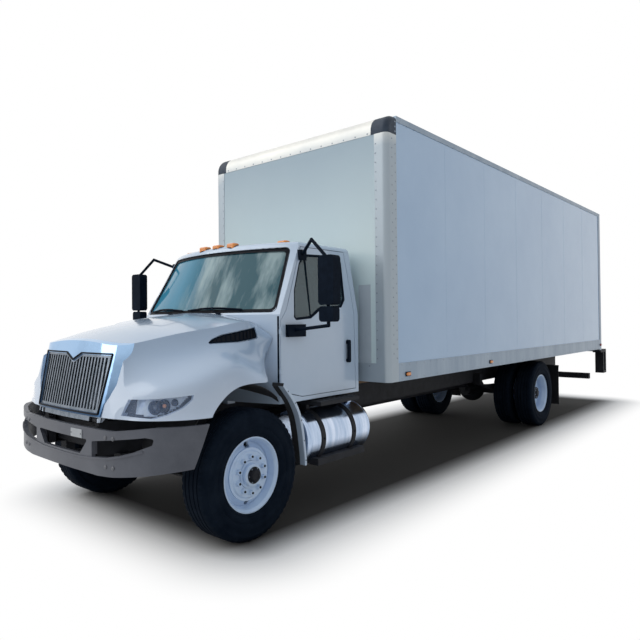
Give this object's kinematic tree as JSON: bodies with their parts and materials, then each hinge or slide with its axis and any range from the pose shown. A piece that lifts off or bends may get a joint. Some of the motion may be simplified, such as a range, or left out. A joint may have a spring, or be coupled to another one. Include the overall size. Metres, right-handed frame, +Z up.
{
  "type": "box truck",
  "caption": "Conventional-cab box truck with a long van body, tilting hood, hinged cab doors, steered front wheels and dual rear wheels on a ladder frame.",
  "frame": {"origin": "centre of the footprint, on the ground under the middle of the whole truck", "axes": "+X to the truck's left, +Y to the rear, +Z up, so that the front faces -Y"},
  "size_m": [2.98, 11.07, 3.826],
  "materials": {
    "chassis_black": "satin",
    "engine_grey": "rough",
    "bumper_grey": "satin",
    "cab_white": "gloss",
    "glass": "tinted",
    "dash_plastic": "grained",
    "mirror_black": "satin",
    "seat_fabric": "woven",
    "amber": "clear",
    "polished_alu": "polished",
    "deck_wood": "worn",
    "box_white": "gloss",
    "box_alu": "mill",
    "cast_grey": "cast",
    "door_paint": "satin",
    "red_lamp": "clear",
    "flap_rubber": "matt",
    "arch_plastic": "grained",
    "chrome": "polished",
    "lamp_glass": "clear",
    "tyre": "matt",
    "wheel_white": "gloss"
  },
  "bodies": {
    "chassis": {"frame_rails": "chassis_black", "front_suspension": "chassis_black", "rear_suspension": "chassis_black", "engine_block": "engine_grey", "radiator": "chassis_black", "front_bumper": "bumper_grey", "cab_shell": "cab_white", "cab_glass": "glass", "dashboard": "dash_plastic", "steering_wheel": "dash_plastic", "seats": "seat_fabric", "roof_lamps": "amber", "quarter_fenders": "arch_plastic", "wheel_liners": "arch_plastic", "fuel_tank": "polished_alu", "side_steps": "chassis_black", "cargo_floor": "deck_wood", "cargo_side_walls": "box_white", "cargo_front_wall": "box_white", "cargo_roof": "box_alu", "body_rails": "box_alu", "front_posts": "box_alu", "corner_caps": "cast_grey", "rear_frame": "box_alu", "roll_door": "door_paint", "rear_lamps": "red_lamp", "rear_guard": "chassis_black", "mudflaps": "flap_rubber"},
    "hood": {"hood_shell": "cab_white", "grille": "bumper_grey", "grille_surround": "chrome", "headlamps": "lamp_glass"},
    "door_left": {"door_left": "cab_white", "door_glass_left": "glass", "mirrors_left": "mirror_black"},
    "knuckle_left": {"knuckle_left": "chassis_black"},
    "front_wheel_left": {"tyre_front_left": "tyre", "rim_front_left": "wheel_white"},
    "rear_wheels_left": {"tyres_rear_left": "tyre", "rims_rear_left": "wheel_white"},
    "door_right": {"door_right": "cab_white", "door_glass_right": "glass", "mirrors_right": "mirror_black"},
    "knuckle_right": {"knuckle_right": "chassis_black"},
    "front_wheel_right": {"tyre_front_right": "tyre", "rim_front_right": "wheel_white"},
    "rear_wheels_right": {"tyres_rear_right": "tyre", "rims_rear_right": "wheel_white"}
  },
  "joints": [
    {"name": "hood_tilt", "type": "hinge", "parent": "chassis", "child": "hood", "pos_m": [0, -5.445, 1], "axis": [1, 0, 0], "range_deg": [0, 70]},
    {"name": "door_left_swing", "type": "hinge", "parent": "chassis", "child": "door_left", "pos_m": [1, -4.043, 1.4], "axis": [0, 0, -1], "range_deg": [0, 70]},
    {"name": "door_right_swing", "type": "hinge", "parent": "chassis", "child": "door_right", "pos_m": [-1, -4.043, 1.4], "axis": [0, 0, 1], "range_deg": [0, 70]},
    {"name": "steer_left", "type": "hinge", "parent": "chassis", "child": "knuckle_left", "pos_m": [0.895, -4.515, 0.519], "axis": [0, 0, 1], "range_deg": [-35, 35]},
    {"name": "steer_right", "type": "hinge", "parent": "chassis", "child": "knuckle_right", "pos_m": [-0.895, -4.515, 0.519], "axis": [0, 0, 1], "range_deg": [-35, 35]},
    {"name": "front_wheel_left_spin", "type": "hinge", "parent": "knuckle_left", "child": "front_wheel_left", "pos_m": [1.01, -4.515, 0.519], "axis": [1, 0, 0], "continuous": true},
    {"name": "front_wheel_right_spin", "type": "hinge", "parent": "knuckle_right", "child": "front_wheel_right", "pos_m": [-1.01, -4.515, 0.519], "axis": [1, 0, 0], "continuous": true},
    {"name": "rear_wheels_left_spin", "type": "hinge", "parent": "chassis", "child": "rear_wheels_left", "pos_m": [0.8915, 1.935, 0.519], "axis": [1, 0, 0], "continuous": true},
    {"name": "rear_wheels_right_spin", "type": "hinge", "parent": "chassis", "child": "rear_wheels_right", "pos_m": [-0.8915, 1.935, 0.519], "axis": [1, 0, 0], "continuous": true}
  ],
  "couplings": [
    {"joint": "steer_right", "follows": "steer_left", "ratio": 1}
  ]
}
